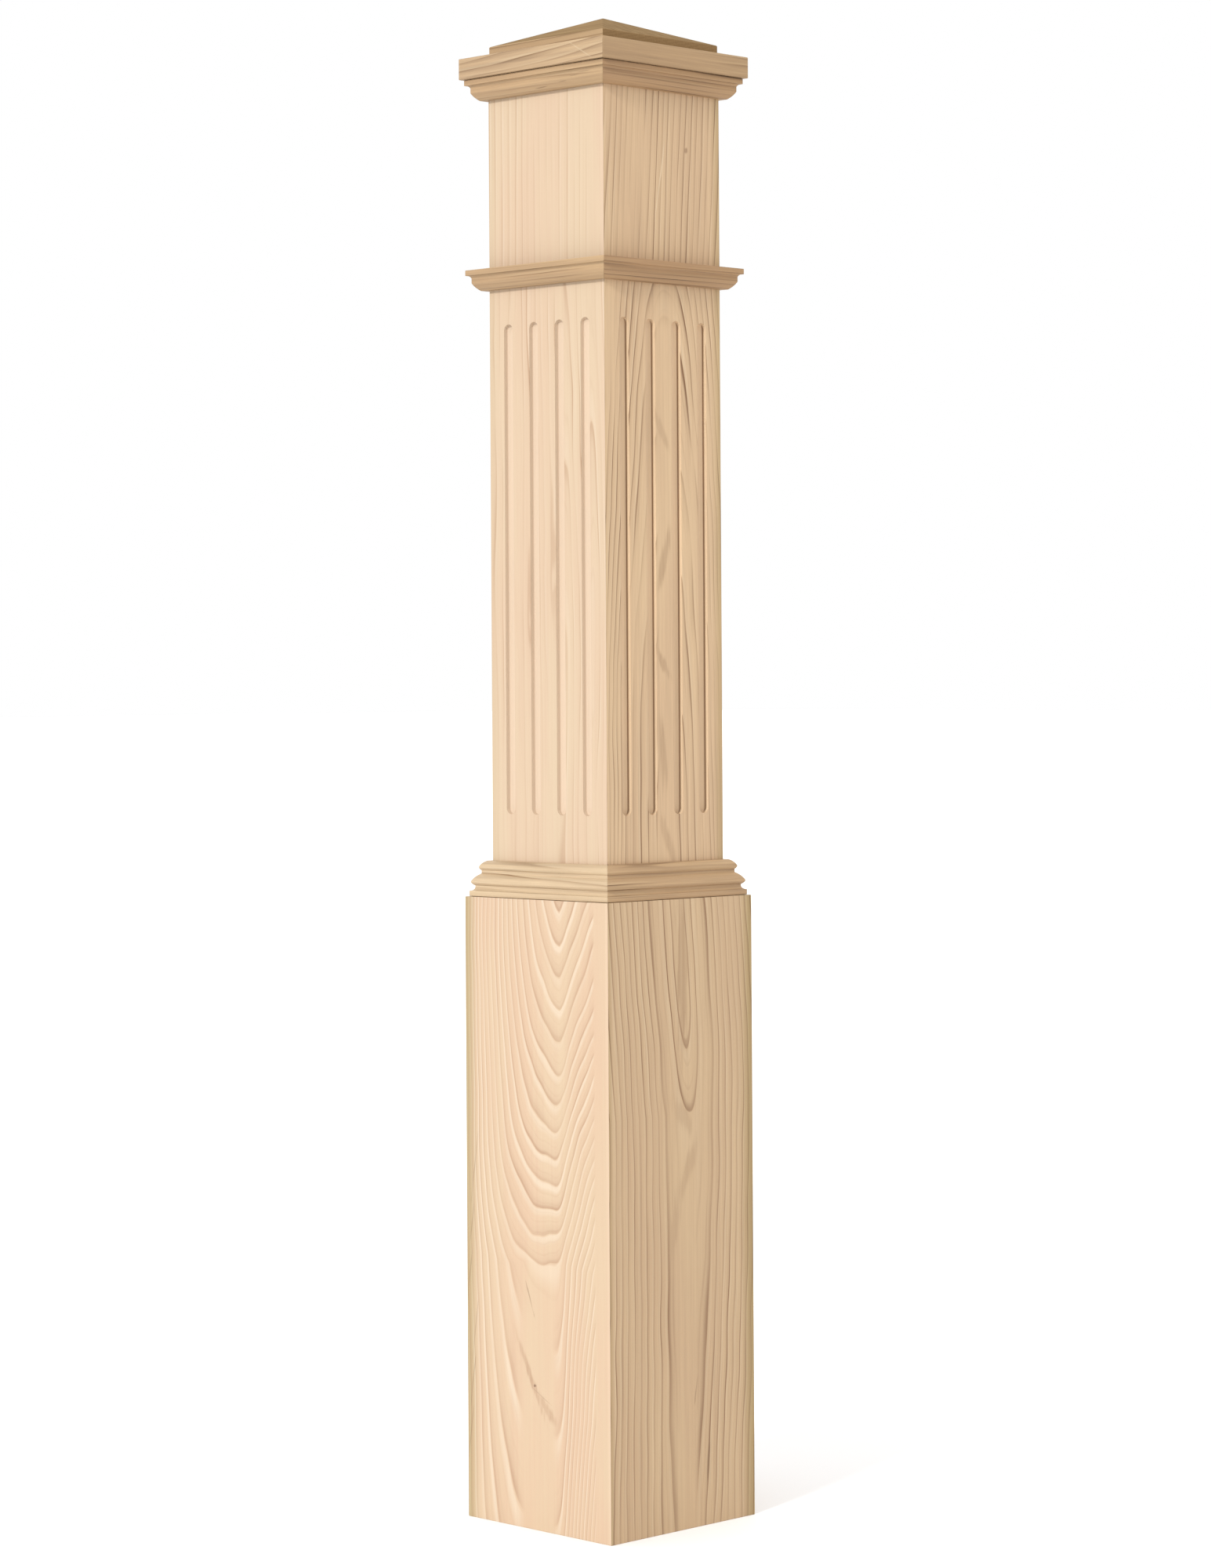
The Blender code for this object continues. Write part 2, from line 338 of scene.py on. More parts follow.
def spot(grain, across, length, width, height, lean=0.0):
    """1 at the middle of a long spot in the wood, falling to 0 round it. All in mm."""
    graph = grain.graph
    along = graph.less(grain.length, length)
    off = graph.less(graph.less(grain.across, across), graph.times(along, lean))
    off = graph.add(off, graph.times(grain.noise(4.0, 40.0, across * 0.01), 2.0 * width))
    along = graph.add(along, graph.times(grain.noise(2.0, 60.0, across * 0.02), 2.0 * height))
    off, along = graph.times(off, 1 / width), graph.times(along, 1 / height)
    square = graph.add(graph.times(off, off), graph.times(along, along))
    return graph.math("EXPONENT", graph.times(square, -1.0))


def wood(name, seed, along, light, line, rings, hard=0.5, soft=0.3, cream=0.25, streak=0.08, tint=0.3,
         sharpness=0.8, fade=0.6, patches=(), marks=(), heart=(0.0, 0.0, 0.0), margin=500.0,
         edges=((-0.04, 8.0), (-0.04, 8.0)), painted_flute_light=0.0, walls=0.3, gloss=0.3):
    """A bare wood: growth rings, fibres, slow changes of tint, patches, marks and painted light and shade.

    Light and line are the colours of the wood and of its ring lines. Hard, soft and cream say how strong the
    thin line at a ring's outer side, the slow darkening before it and the pale band at its inner side are.
    Rings is a function that gives the ring number. Patches and marks list soft and sharp spots as (across,
    length, width, height, lean, strength), and a mark of strength under 0 is pale. The ring figure fades out
    within heart[1] mm of heart[0] below the level heart[2], and beyond the margin, in mm to the right. Edges
    says how much lighter or darker the left and right ends of the face are, and over how many mm: lighter is
    a painted highlight along the arris, darker is painted shade towards the face's end. Streak, tint and
    fade say how strong the fibres' shade, the changes of tint and the figure's fading in patches are, and
    sharpness is where in a ring its thin line starts. Painted_flute_light is how far the wood in the flutes
    is paled, painted light that lifts it against its shade; its figure is faint. Walls is how strong the
    painted shade on the inner parts of the flutes' walls and the painted highlight on their outer parts are.
    Gloss is the specular level.
    """
    material = bpy.data.materials.new(name)
    material.use_nodes = True
    shader = material.node_tree.nodes["Principled BSDF"]
    graph = Graph(material.node_tree)
    grain = Grain(graph, along, seed)

    # The lines and bands inside a ring, stronger in some rings than in others
    ring = rings(grain)
    number = graph.math("FLOOR", ring)
    share = graph.less(ring, number)
    first_chance = graph.chance(graph.add(number, seed * 11.0))
    second_chance = graph.chance(graph.add(number, seed * 11.0 + 500.5))
    end = graph.step(share, 1.0, 0.965)
    band = graph.times(graph.step(share, 0.45, 0.97), end)
    thin = graph.times(graph.step(share, sharpness, 0.95), end)
    pale = graph.times(graph.step(share, 0.0, 0.05), graph.step(share, 0.38, 0.1))
    between = graph.math("FRACT", graph.times(ring, 2.7))
    fine = graph.times(graph.step(between, 0.7, 0.9), graph.step(between, 1.0, 0.93))

    # The figure fades in patches, near the heart, beyond the margin and in the flutes
    patchy = graph.add(1.0 - fade / 2, graph.times(grain.noise(18.0, 120.0, 7, 1.0), 3 * fade))
    patchy = graph.math("MAXIMUM", patchy, 0.0)
    from_heart = graph.math("ABSOLUTE", graph.less(grain.across, heart[0]))
    outside = graph.math("MAXIMUM", graph.step(from_heart, 0.5 * heart[1] - 0.1, heart[1]),
                         graph.step(grain.length, heart[2] - 30.0, heart[2] + 10.0))
    shaft_face = MM_PER_M * SHAFT_FACE
    bare = graph.step(grain.depth, shaft_face - 0.2, shaft_face - 0.8) if painted_flute_light else 0.0
    figure = graph.times(
        patchy,
        outside,
        graph.step(grain.side, margin + 3.0, margin),
        graph.less(1.0, graph.times(bare, 0.85)),
    )
    darkness = graph.add(
        graph.times(band, soft, graph.add(0.5, graph.times(first_chance, 0.7))),
        graph.times(thin, hard, graph.add(0.3, graph.times(second_chance, 0.9))),
        graph.times(fine, 0.22 * hard),
    )
    darkness = graph.times(darkness, figure)

    fibre = grain.noise(0.5, 22.0, 8, 3.0, 0.65)
    thread = grain.noise(2.4, 160.0, 9, 3.0, 0.6)
    cloud = grain.noise(38.0, 170.0, 10, 1.0)

    for across, length, width, height, lean, strength in patches:
        soft_spot = graph.step(spot(grain, across, length, width, height, lean), 0.05, 0.75)
        streaked = graph.add(strength, graph.times(thread, 3.0 * strength))
        darkness = graph.math("MAXIMUM", darkness, graph.times(soft_spot, streaked))

    # The tinted ground, then the pale bands, the dark lines and patches, and the marks
    hue = graph.step(graph.add(graph.times(cloud, 1.2), graph.times(thread, 0.9)), -0.3, 0.3)
    ground = graph.mix(tint, light, graph.mix(hue, shifted(light, PINKER), shifted(light, YELLOWER)))
    bright = shifted(light, BRIGHTER)
    colour = graph.mix(graph.times(pale, cream, graph.add(0.4, first_chance), figure), ground, bright)
    colour = graph.mix(darkness, colour, line)
    burnt = shifted(line, BURNT)
    for across, length, width, height, lean, strength in marks:
        sharp_spot = graph.step(spot(grain, across, length, width, height, lean), 0.2, 0.8)
        colour = graph.mix(graph.times(sharp_spot, abs(strength)), colour, burnt if strength > 0 else bright)

    # Painted shade and painted highlight towards the face's two ends, the painted shade taking more blue
    low_end_light = graph.times(graph.step(graph.add(grain.depth, grain.side), edges[0][1], 0.0), edges[0][0])
    high_end_light = graph.times(graph.step(graph.less(grain.depth, grain.side), edges[1][1], 0.0), edges[1][0])
    shade = graph.add(
        1.0,
        graph.times(fibre, 0.9 * streak),
        graph.times(thread, 1.6 * streak),
        graph.times(cloud, streak),
        low_end_light,
        high_end_light,
    )
    bluer = graph.add(shade, graph.times(graph.add(low_end_light, high_end_light), 0.5))
    grey = graph.node("ShaderNodeCombineXYZ", (shade, shade, bluer)).outputs[0]
    # Painted light in the flutes: paler wood, and walls with a painted highlight outside and painted shade
    # inside
    if painted_flute_light:
        colour = graph.mix(graph.times(bare, painted_flute_light), colour, shifted(light, PAINTED_FLUTE_LIGHT_FACTORS))
        inner = graph.step(grain.depth, shaft_face - 2.0, shaft_face - 3.0)
        wall = graph.step(grain.faces_side, 0.35, 0.85)
        colour = graph.mix(graph.times(wall, bare, graph.less(1.0, inner), walls), colour, bright)
        colour = graph.mix(graph.times(wall, inner, walls), colour, line)
    colour = graph.mix(1.0, colour, grey, "MULTIPLY")

    graph.feed(shader.inputs["Base Color"], colour)
    roughness = graph.add(0.62, graph.times(fibre, 0.35), graph.times(darkness, -0.12))
    graph.feed(shader.inputs["Roughness"], roughness)
    shader.inputs["Specular IOR Level"].default_value = gloss
    height = graph.add(graph.times(fibre, 0.55), graph.times(thread, 0.35), graph.times(darkness, 0.2))
    bump = graph.node("ShaderNodeBump")
    bump.inputs["Strength"].default_value = 0.35
    bump.inputs["Distance"].default_value = 0.00025
    graph.feed(bump.inputs["Height"], height)
    graph.feed(shader.inputs["Normal"], bump.outputs["Normal"])
    return material, graph, grain, colour


def cap_block_wood():
    """The cap block's wood: long grain on two sides, end grain on the other two, darker on faces pointing up.
    """
    material, graph, grain, colour = wood(
        "cap_block_wood", 61.0, "X", CAP_BLOCK_LIGHT, CAP_BLOCK_LINE,
        lambda grain: straight_rings(grain, 4.2, lean=0.01, wander=4.0, ripple=0.4, slant=0.35, drift=1.2),
        hard=0.35, soft=0.35, cream=0.2, streak=0.14, edges=NO_END_LIGHT, gloss=0.0,
    )
    shader = material.node_tree.nodes["Principled BSDF"]
    speckle = grain.noise(1.2, 1.6, 21, 3.0, 0.7)
    arcs = graph.math("SINE", graph.times(graph.add(grain.up, graph.times(grain.depth, 0.22)), 2.4))
    end_share = graph.add(0.3, graph.times(speckle, 0.5), graph.times(arcs, 0.04))
    end_grain = graph.mix(end_share, CAP_BLOCK_END, CAP_BLOCK_LINE)
    # Darker on the faces that point up
    sawn = graph.mix(graph.add(0.3, grain.noise(4.0, 60.0, 22, 3.0)), CAP_BLOCK_TOP, CAP_BLOCK_LINE)
    colour = graph.mix(graph.step(grain.faces_up, 0.6, 0.85), colour, sawn)
    colour = graph.mix(graph.step(grain.faces_side, 0.5, 0.8), colour, end_grain)
    graph.feed(shader.inputs["Base Color"], colour)
    return material


def swept_curve(start, end, bow):
    """Points from start to end, end included, on an arc that bows outwards by a share of its chord.

    A profile is drawn down its face, so outwards is to the left of the way it runs.
    """
    run, fall = end[0] - start[0], end[1] - start[1]
    points = []
    for step in range(1, CURVE_STEPS + 1):
        along = step / CURVE_STEPS
        swell = 4 * bow * along * (1 - along)
        points.append((start[0] + run * along - fall * swell, start[1] + fall * along + run * swell))
    return points


def eased(outline, radius, places):
    """The outline with the corners at those places rounded off."""
    points = []
    for number, point in enumerate(outline):
        if number not in places:
            points.append(point)
            continue
        before, after = outline[number - 1], outline[(number + 1) % len(outline)]
        arms = []
        for other in (before, after):
            gap = math.dist(point, other)
            cut = min(radius, 0.45 * gap)
            arms.append(tuple(p + (o - p) * cut / gap for p, o in zip(point, other)))
        for step in range(EASE_STEPS + 1):
            t = step / EASE_STEPS
            points.append(tuple((1 - t) ** 2 * a + 2 * t * (1 - t) * p + t * t * b
                                for a, p, b in zip(arms[0], point, arms[1])))
    return points


def board_outline(inner, outer, low, high):
    """Section of a plain board with its outer corners eased."""
    return eased([(inner, high), (outer, high), (outer, low), (inner, low)], ARRIS, (1, 2))


def bed_outline(foot):
    """Section of the bed moulding: fillet, cove, neck and bevel."""
    back = SHAFT_FACE + SEAT_GAP
    top = foot + BED_HEIGHT - JOINT_GAP
    face = SHAFT_FACE + BED_FACE
    neck = SHAFT_FACE + BED_NECK_FACE
    fillet_end = top + JOINT_GAP - BED_FILLET
    cove_end = fillet_end - BED_COVE
    neck_end = cove_end - BED_NECK
    outline = [(back, top), (face, top), (face, fillet_end)]
    outline += swept_curve((face, fillet_end), (neck, cove_end), BED_COVE_BOW)
    outline += [(neck, neck_end)]
    neck_corner = len(outline) - 1
    outline += swept_curve((neck, neck_end), (SHAFT_FACE + BED_FOOT_FACE, foot), BED_BEVEL_BOW)
    foot_corner = len(outline) - 1
    return eased(outline + [(back, foot)], BED_ARRIS, (1, 2, neck_corner, foot_corner))


def base_moulding_outline():
    """Section of the base moulding: two nosings with undercuts, a cove and a foot fillet."""
    back = SHAFT_FACE + SEAT_GAP
    upper_nose = (SHAFT_FACE + UPPER_NOSE_PROJECTION, BASE_MOULDING_TOP - UPPER_NOSE)
    upper_neck = (SHAFT_FACE + UPPER_NECK_PROJECTION, upper_nose[1] - UPPER_UNDERCUT)
    upper_neck_end = (upper_neck[0], upper_neck[1] - UPPER_NECK)
    lower_nose = (SHAFT_FACE + LOWER_NOSE_PROJECTION, upper_neck_end[1] - LOWER_NOSE)
    lower_neck = (SHAFT_FACE + LOWER_NECK_PROJECTION, lower_nose[1] - LOWER_UNDERCUT)
    lower_neck_end = (lower_neck[0], lower_neck[1] - LOWER_NECK)
    cove_end = (SHAFT_FACE + FOOT_COVE_PROJECTION, lower_neck_end[1] - FOOT_COVE)
    foot = SHAFT_FACE + FOOT_PROJECTION
    seat = BASE_TOP + JOINT_GAP
    outline = [(back, BASE_MOULDING_TOP), (SHAFT_FACE + TOP_EDGE_PROJECTION, BASE_MOULDING_TOP)]
    outline += swept_curve(outline[-1], upper_nose, UPPER_NOSE_BOW)
    noses = [len(outline) - 1]
    outline += swept_curve(upper_nose, upper_neck, UPPER_NOSE_BOW)
    outline += [upper_neck_end]
    outline += swept_curve(upper_neck_end, lower_nose, LOWER_NOSE_BOW)
    noses += [len(outline) - 1]
    outline += swept_curve(lower_nose, lower_neck, LOWER_UNDERCUT_BOW)
    outline += [lower_neck_end]
    outline += swept_curve(lower_neck_end, cove_end, FOOT_COVE_BOW)
    outline += [(foot, cove_end[1]), (foot, seat), (back, seat)]
    return eased(outline, BASE_MOULDING_ARRIS, (1, *noses, len(outline) - 3, len(outline) - 2))


def mitred_shape(outline):
    """The front piece of a family: a section drawn along X, mitred at both ends, its arrises eased."""
    shape = bmesh.new()
    turns = [math.pi / 4 * step / EASE_STEPS for step in range(EASE_STEPS + 1)]
    columns = [(-1, turn) for turn in reversed(turns)] + [(1, turn) for turn in turns]
    rows = []
    for out, up in outline:
        row = []
        for side, turn in columns:
            across = side * (out - ARRIS + ARRIS * math.sin(turn) - MITRE_GAP)
            row.append(shape.verts.new((across, ARRIS - out - ARRIS * math.cos(turn), up)))
        rows.append(row)
    for number, row in enumerate(rows):
        after = rows[(number + 1) % len(rows)]
        curved = math.dist(outline[number], outline[(number + 1) % len(rows)]) < CURVED_STRIP
        for place in range(len(columns) - 1):
            face = shape.faces.new((row[place], row[place + 1], after[place + 1], after[place]))
            face.smooth = curved or place != EASE_STEPS
    shape.faces.new([row[0] for row in rows])
    shape.faces.new([row[-1] for row in rows])
    return shape


def finished_mesh(shape, name):
    """A mesh of the shape, with its normals outwards and its creases sharp."""
    bmesh.ops.remove_doubles(shape, verts=shape.verts, dist=WELD)
    bmesh.ops.recalc_face_normals(shape, faces=shape.faces)
    for edge in shape.edges:
        if len(edge.link_faces) == 2:
            edge.smooth = edge.calc_face_angle(0.0) < CREASE
    mesh = bpy.data.meshes.new(name)
    shape.to_mesh(mesh)
    shape.free()
    return mesh


def flute_section():
    """A flute's wall from its rim down to its middle, as (distance from the middle, depth) points."""
    points = []
    for step in range(EASE_STEPS + 1):
        turn = math.pi / 2 * step / EASE_STEPS
        points.append((FLUTE_RADIUS + FLUTE_RIM * (1 - math.sin(turn)), FLUTE_RIM * (1 - math.cos(turn))))
    for step in range(1, FLUTE_RINGS + 1):
        turn = math.pi / 2 * step / FLUTE_RINGS
        power = 2 / FLUTE_SQUARENESS
        depth = FLUTE_RIM + (FLUTE_DEPTH - FLUTE_RIM) * math.sin(turn) ** power
        points.append((FLUTE_RADIUS * max(0.0, math.cos(turn)) ** power, depth))
    return points


def cut_flute(shape, centre):
    """Add one flute's surface to the shape, from its rim on the open front face inwards."""
    rings = []
    for radius, depth in flute_section():
        ring = []
        for level, start in ((FLUTE_HIGH - FLUTE_RADIUS, 0.0), (FLUTE_LOW + FLUTE_RADIUS, math.pi)):
            for step in range(FLUTE_END_STEPS + 1):
                turn = start + math.pi * step / FLUTE_END_STEPS
                across, up = radius * math.cos(turn), radius * math.sin(turn)
                ring.append(shape.verts.new((centre + across, depth - SHAFT_FACE, level + up)))
        rings.append(ring)
    for outer, inner in zip(rings, rings[1:]):
        for place, vert in enumerate(outer):
            after = (place + 1) % len(outer)
            shape.faces.new((vert, outer[after], inner[after], inner[place])).smooth = True


def fluted_shape():
    """A shaft board from the floor to the fascia, with four round-ended flutes in its face."""
    shape = mitred_shape(board_outline(HOLLOW_FACE, SHAFT_FACE, 0.0, FASCIA_FOOT - JOINT_GAP))
    front = min(shape.faces, key=lambda face: face.calc_center_median().y)
    shape.faces.remove(front)
    for centre in FLUTE_CENTRES:
        cut_flute(shape, centre)
    bmesh.ops.remove_doubles(shape, verts=shape.verts, dist=WELD)
    rim = [edge for edge in shape.edges if len(edge.link_faces) == 1]
    bmesh.ops.triangle_fill(shape, use_beauty=True, edges=rim, normal=(0.0, -1.0, 0.0))
    return shape


def block_shape():
    """A square block with a low pyramid top, all its edges but the lowest eased."""
    shape = bmesh.new()
    low = FASCIA_TOP + JOINT_GAP
    rings = []
    for level in (low, RISER_TOP):
        rings.append([shape.verts.new((x * BLOCK_FACE, y * BLOCK_FACE, level))
                      for x, y in ((-1, -1), (1, -1), (1, 1), (-1, 1))])
    apex = shape.verts.new((0.0, 0.0, APEX))
    shape.faces.new(rings[0])
    for place in range(4):
        after = (place + 1) % 4
        shape.faces.new((rings[0][place], rings[0][after], rings[1][after], rings[1][place]))
        shape.faces.new((rings[1][place], rings[1][after], apex))
    middle = (low + RISER_TOP) / 2
    upper = [edge for edge in shape.edges if max(vert.co.z for vert in edge.verts) > middle]
    bmesh.ops.bevel(shape, geom=upper, offset=ARRIS, segments=2, profile=0.5, affect="EDGES")
    for face in shape.faces:
        face.smooth = face.calc_area() < EASED_STRIP_AREA
    return shape


def place_piece(name, mesh, material, turns, node):
    """A piece on the post's body, turned by quarter turns about the axis, in place of a CAD node."""
    piece = bpy.data.objects.new(name, mesh)
    piece.rotation_euler = (0.0, 0.0, turns * math.pi / 2)
    bpy.context.scene.collection.objects.link(piece)
    piece.data.materials.append(None)
    piece.material_slots[0].link = "OBJECT"
    piece.material_slots[0].material = material
    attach(piece, "root")
    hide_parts(node)


def place_family(family, shape, materials):
    """The four pieces of a family, each the front one's mesh turned about the axis, in its own wood."""
    mesh = finished_mesh(shape, family)
    for turns, side in enumerate(SIDES):
        own = mesh.copy() if turns else mesh
        place_piece(f"{family}_{side}_piece", own, materials[turns], turns, f"{family}_{side}")


# Light wood and ring line colours of each side of each family, in the order of SIDES
BASE_TONES = (
    (tone(188, 164, 138), tone(148, 112, 86)),
    (tone(187, 159, 126), tone(120, 86, 58)),
    (tone(188, 163, 137), tone(144, 108, 82)),
    (tone(186, 160, 131), tone(126, 92, 68)),
)
SHAFT_TONES = (
    (tone(187, 165, 140), tone(152, 118, 90)),
    (tone(196, 167, 133), tone(120, 88, 60)),
    (tone(188, 163, 137), tone(144, 110, 84)),
    (tone(188, 163, 135), tone(134, 100, 74)),
)
MOULDING_TONES = (
    (tone(165, 137, 104), tone(92, 66, 42)),
    (tone(163, 130, 95), tone(70, 47, 28)),
    (tone(166, 138, 106), tone(90, 64, 41)),
    (tone(164, 135, 102), tone(82, 56, 35)),
)
BASE_MOULDING_TONES = (
    (tone(188, 166, 135), tone(140, 112, 82)),
    (tone(176, 146, 111), tone(92, 66, 44)),
    (tone(184, 160, 130), tone(116, 88, 62)),
    (tone(182, 156, 124), tone(104, 78, 54)),
)
FASCIA_TONES = (
    (tone(166, 140, 109), tone(100, 73, 48)),
    (tone(164, 135, 101), tone(98, 70, 45)),
    (tone(166, 139, 107), tone(100, 73, 48)),
    (tone(165, 137, 104), tone(100, 72, 46)),
)
CAP_BLOCK_LIGHT = FASCIA_TONES[0][0]
CAP_BLOCK_LINE = tone(86, 62, 40)
CAP_BLOCK_TOP = tone(156, 131, 97)
CAP_BLOCK_END = tone(154, 126, 89)


def side_woods(family, seed, along, tones, rings, looks, patches=NO_SPOTS, marks=NO_SPOTS):
    """The woods of a family's four sides. Tones to marks have one entry a side, in the order of SIDES."""
    woods = []
    for turns, side in enumerate(SIDES):
        light, line = tones[turns]
        made = wood(f"{family}_wood_{side}", seed + turns, along, light, line, rings[turns],
                    patches=patches[turns], marks=marks[turns], **looks[turns])
        woods.append(made[0])
    return woods


def base_woods():
    """Flat-sawn boards: pale nested arches on the front, dark thin lines on the right."""
    arches = dict(centre=27.0, reach=545.0, steep=(3.5, 0.008), soft=355.0, spacing=20.0, sparse=(205.0, 0.3),
                  right=(4.0, 0.00004), wander=2.4, ripple=0.8)
    heart = dict(centre=8.0, level=320.0, behind=16.0, closing=(0.04, 0.16), widths=(7.5, 6.3), plain=15.4,
                 lean=(0.02, -0.07), wander=2.0, ripple=1.1)
    back_arches = {**arches, "centre": -4.0, "spacing": 23.0}
    left_heart = {**heart, "centre": -16.0, "level": 210.0, "closing": (0.06, 0.1)}
    rings = (
        lambda grain: nested_arches(grain, **arches),
        lambda grain: grown_rings(grain, **heart),
        lambda grain: nested_arches(grain, **back_arches),
        lambda grain: grown_rings(grain, **left_heart),
    )
    # Painted shade towards both ends of the hidden sides
    hidden_end_shade = ((-0.08, 10.0), (-0.08, 10.0))
    # Edges: painted highlight at the front's near arris, painted shade at far ends, dark joint line and shade
    # at right's near corner
    looks = (
        dict(hard=0.34, soft=0.25, cream=1.2, streak=0.06, tint=0.6, margin=62.0, fade=0.4,
             heart=(0.0, 28.0, 190.0), edges=((-0.3, 15.0), (0.07, 4.5))),
        dict(hard=0.72, soft=0.24, cream=0.5, streak=0.17, sharpness=0.78, fade=0.5, heart=(4.0, 15.0, 300.0),
             edges=((-0.16, 5.0), (-0.29, 17.0))),
        dict(hard=0.25, soft=0.2, cream=0.7, streak=0.06, tint=0.6, heart=(-24.0, 36.0, 190.0),
             edges=hidden_end_shade),
        dict(hard=0.55, soft=0.2, cream=0.4, streak=0.09, edges=hidden_end_shade),
    )
    patches = (
        ((-8.0, 118.0, 2.6, 26.0, -0.5, 0.36), (10.0, 94.0, 5.0, 11.0, -0.9, 0.32)),
        ((1.0, 430.0, 6.5, 58.0, 0.0, 0.3), (1.0, 318.0, 7.0, 13.0, -0.6, 0.16),
         (6.0, 276.0, 5.0, 20.0, 0.4, 0.2), (-9.0, 234.0, 5.0, 26.0, 0.15, 0.22)),
        (),
        ((-12.0, 250.0, 6.0, 26.0, 0.1, 0.3),),
    )
    edge_streaks = tuple((-70.0 - 3.0 * (place % 3), 275.0 - 42.0 * place, 0.6, 24.0, 0.15, 0.3)
                         for place in range(6))
    marks = (
        ((-9.0, 180.0, 0.7, 15.0, -0.35, 0.4), (-3.6, 111.0, 1.5, 1.2, 0.0, 0.8),
         (4.0, 104.0, 0.5, 6.0, -1.9, 0.4), *edge_streaks),
        ((27.0, 50.0, 1.6, 16.0, 0.1, 0.4), (13.6, 106.0, 0.8, 10.0, 0.15, 0.3)),
        ((30.0, 300.0, 0.9, 10.0, 0.2, 0.4),),
        ((-30.0, 180.0, 0.9, 14.0, 0.1, 0.4),),
    )
    return side_woods("base", 1.0, "Z", BASE_TONES, rings, looks, patches, marks)


def shaft_rings(fluted, block):
    """Arches or straight lines over the flutes, and straight lines on the plain block above the collar."""
    def rings(grain):
        low = grown_rings(grain, **fluted) if "centre" in fluted else straight_rings(grain, **fluted)
        return blend_rings(grain, MM_PER_M * COLLAR_FOOT + 8.0, low, straight_rings(grain, **block))
    return rings


def shaft_woods():
    """Pale straight grain on the front, and darker arches pointing up, between the flutes, on the right."""
    streaks = dict(spacing=9.0, lean=-0.02, wander=9.0, ripple=1.6, drift=2.5)
    arches = dict(centre=2.0, level=859.0, behind=40.0, closing=(-0.105, -0.105), widths=(8.2, 4.2),
                  plain=8.0, wander=2.0, ripple=0.9)
    lines = dict(spacing=6.4, lean=0.06, wander=3.0, ripple=0.5, drift=1.0)
    rings = (
        shaft_rings(streaks, dict(spacing=7.2, lean=0.0, wander=1.5, ripple=0.3, drift=0.8)),
        shaft_rings(arches, lines),
        shaft_rings({**arches, "centre": -14.0, "behind": 52.0}, {**lines, "lean": -0.02}),
        shaft_rings({**streaks, "spacing": 7.0, "lean": 0.02}, {**lines, "lean": 0.02}),
    )
    # Painted shade towards each face's ends, a painted highlight at the front's near arris, painted light in
    # the flutes
    hidden = dict(hard=0.4, soft=0.2, cream=0.4, streak=0.09, fade=0.8, painted_flute_light=0.7,
                  edges=((-0.06, 10.0), (-0.06, 10.0)))
    looks = (
        dict(hard=0.4, soft=0.14, cream=0.35, streak=0.07, tint=0.5, fade=1.0, painted_flute_light=1.0, walls=0.2,
             edges=((-0.06, 12.0), (0.035, 6.0))),
        dict(hard=0.74, soft=0.34, cream=0.4, streak=0.22, fade=0.8, painted_flute_light=1.0, walls=0.9,
             heart=(1.0, 13.0, 950.0), edges=((-0.05, 3.0), (-0.2, 12.0))),
        hidden,
        hidden,
    )
    patches = (
        (),
        ((-2.0, 846.0, 4.0, 15.0, -0.5, 0.24), (-1.0, 746.0, 4.0, 22.0, 0.3, 0.3),
         (-3.0, 668.0, 3.5, 14.0, -0.6, 0.24), (-4.0, 602.0, 4.0, 26.0, -0.15, 0.24),
         (1.0, 532.0, 4.5, 18.0, -0.4, 0.22), (26.5, 1065.0, 1.7, 2.2, 0.0, 0.5)),
        (),
        (),
    )
    marks = (
        ((-45.0, 926.0, 0.8, 2.0, 0.0, 0.7), (-44.0, 556.0, 1.8, 1.4, 0.0, 0.4),
         (-17.0, 554.0, 1.4, 1.2, 0.0, 0.6), (39.0, 554.0, 1.4, 1.2, 0.0, 0.6)),
        ((-42.6, 930.0, 2.2, 1.4, 0.0, 0.7), (-15.0, 556.0, 1.6, 1.6, 0.0, 0.55),
         (41.0, 553.0, 2.0, 1.0, 0.0, 0.55), (-2.4, 1042.0, 0.8, 34.0, 0.185, -0.8)),
        (),
        (),
    )
    return side_woods("shaft", 11.0, "Z", SHAFT_TONES, rings, looks, patches, marks)


def moulding_woods(family, seed, tones=MOULDING_TONES, marks=NO_SPOTS):
    """Darker straight grain along the moulding, with streaks."""
    common = dict(spacing=4.6, wander=2.4, ripple=0.5, slant=0.7, drift=1.6)
    leans = [0.006 * (turns - 1) for turns in range(len(SIDES))]
    rings = [lambda grain, lean=lean: straight_rings(grain, lean=lean, **common) for lean in leans]
    look = dict(hard=0.45, soft=0.45, cream=0.5, streak=0.34, fade=1.3, edges=NO_END_LIGHT)
    return side_woods(family, seed, "X", tones, rings, [look] * len(SIDES), marks=marks)


def fascia_woods():
    """Straight grain along the fascia, wavy on the front, with one pale scratch there."""
    common = dict(spacing=5.0, lean=0.02, ripple=0.7, slant=0.6, drift=1.6)
    rings = [lambda grain, wander=wander: straight_rings(grain, wander=wander, **common)
             for wander in (6.0, 1.5, 3.0, 2.0)]
    look = dict(hard=0.42, soft=0.5, cream=0.5, streak=0.36, fade=1.2, edges=NO_END_LIGHT)
    scratch = (1134.0, 55.0, 0.7, 15.0, -0.59, -0.8)
    marks = ((scratch,), (), (), ())
    return side_woods("fascia", 51.0, "X", FASCIA_TONES, rings, [look] * len(SIDES), marks=marks)


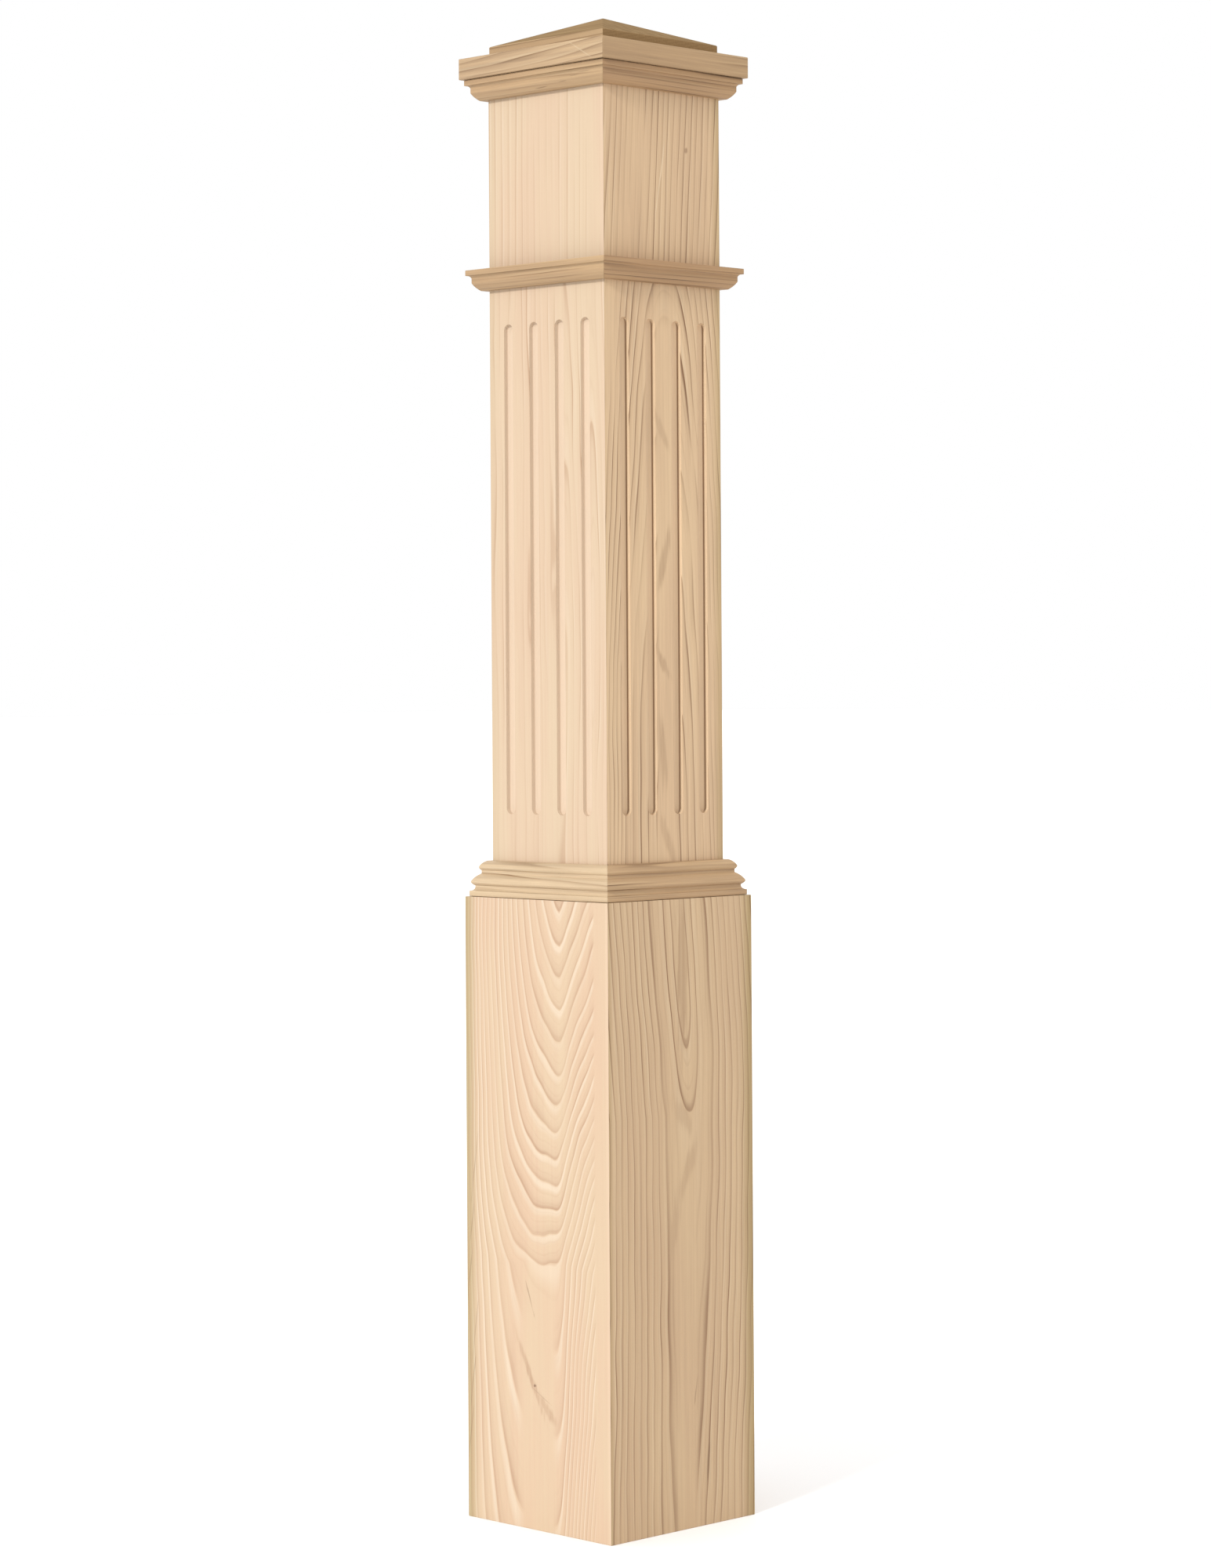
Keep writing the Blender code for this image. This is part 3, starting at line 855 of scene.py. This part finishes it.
def build_post():
    """Every piece of the post."""
    place_family("shaft_board", fluted_shape(), shaft_woods())
    base = mitred_shape(board_outline(SHAFT_FACE + SEAT_GAP, BASE_FACE, 0.0, BASE_TOP))
    place_family("base_board", base, base_woods())
    place_family("base_moulding", mitred_shape(base_moulding_outline()),
                 moulding_woods("base_moulding", 21.0, BASE_MOULDING_TONES))
    place_family("collar_moulding", mitred_shape(bed_outline(COLLAR_FOOT)),
                 moulding_woods("collar_moulding", 31.0))
    streaks = ((1118.0, 51.0, 0.3, 8.0), (1116.0, 42.0, 0.25, 6.0),
               (1113.0, 28.7, 0.3, 5.0), (1111.0, 3.6, 0.4, 7.0))
    front_marks = tuple((*streak, 0.03, 0.4) for streak in streaks)
    place_family("cap_moulding", mitred_shape(bed_outline(CAP_MOULDING_FOOT)),
                 moulding_woods("cap_moulding", 41.0, marks=(front_marks, (), (), ())))
    fascia = mitred_shape(board_outline(HOLLOW_FACE, FASCIA_FACE, FASCIA_FOOT, FASCIA_TOP))
    place_family("cap_fascia", fascia, fascia_woods())
    block = finished_mesh(block_shape(), "cap_top_block")
    place_piece("cap_top_block_piece", block, cap_block_wood(), 0, "cap_top_block")


def build_floor():
    """A plain pale floor, far larger than the view."""
    mesh = bpy.data.meshes.new("floor")
    half = 60.0
    mesh.from_pydata([(-half, -half, 0.0), (half, -half, 0.0), (half, half, 0.0), (-half, half, 0.0)], [],
                     [(0, 1, 2, 3)])
    floor = bpy.data.objects.new("floor", mesh)
    bpy.context.scene.collection.objects.link(floor)
    material = bpy.data.materials.new("floor_paint")
    material.use_nodes = True
    shader = material.node_tree.nodes["Principled BSDF"]
    shader.inputs["Base Color"].default_value = (0.97, 0.97, 0.97, 1.0)
    shader.inputs["Roughness"].default_value = 0.9
    mesh.materials.append(material)


def far_light(name, azimuth, elevation, spread, strength):
    """A far soft light, alike at head and foot. Azimuth 0 is straight in front, and 90 is to the right."""
    turn, rise = math.radians(azimuth), math.radians(elevation)
    lamp = bpy.data.lights.new(name, "SUN")
    lamp.angle = math.radians(spread)
    lamp.energy = strength
    light = bpy.data.objects.new(name, lamp)
    bpy.context.scene.collection.objects.link(light)
    light.rotation_euler = (math.pi / 2 - rise, 0.0, turn)


def light_scene():
    """White surroundings, a soft key from the front, and a faint light on the hidden sides."""
    world = bpy.data.worlds.new("studio")
    bpy.context.scene.world = world
    world.use_nodes = True
    background = world.node_tree.nodes["Background"]
    background.inputs["Color"].default_value = (1.0, 1.0, 1.0, 1.0)
    background.inputs["Strength"].default_value = 1.0
    far_light("key", azimuth=12.0, elevation=24.0, spread=10.0, strength=2.2)
    far_light("back", azimuth=235.0, elevation=25.0, spread=25.0, strength=0.5)
    bpy.context.scene.view_settings.view_transform = "Standard"


def add_camera():
    """A long lens level with the flutes' lower part, its frame moved down to take in the foot."""
    camera = bpy.data.cameras.new("camera")
    camera.lens = LENS
    camera.sensor_width = SENSOR_WIDTH
    camera.shift_x, camera.shift_y = CAMERA_SHIFT
    camera.clip_start = 0.1
    camera.clip_end = 200.0
    seat = bpy.data.objects.new("camera", camera)
    bpy.context.scene.collection.objects.link(seat)
    to_right, to_front = math.sin(CAMERA_AZIMUTH), math.cos(CAMERA_AZIMUTH)
    seat.location = (CAMERA_DISTANCE * to_right, -CAMERA_DISTANCE * to_front, CAMERA_HEIGHT)
    seat.rotation_euler = (math.pi / 2, CAMERA_ROLL, CAMERA_AZIMUTH)
    bpy.context.scene.camera = seat


add_camera()
build_post()
build_floor()
light_scene()
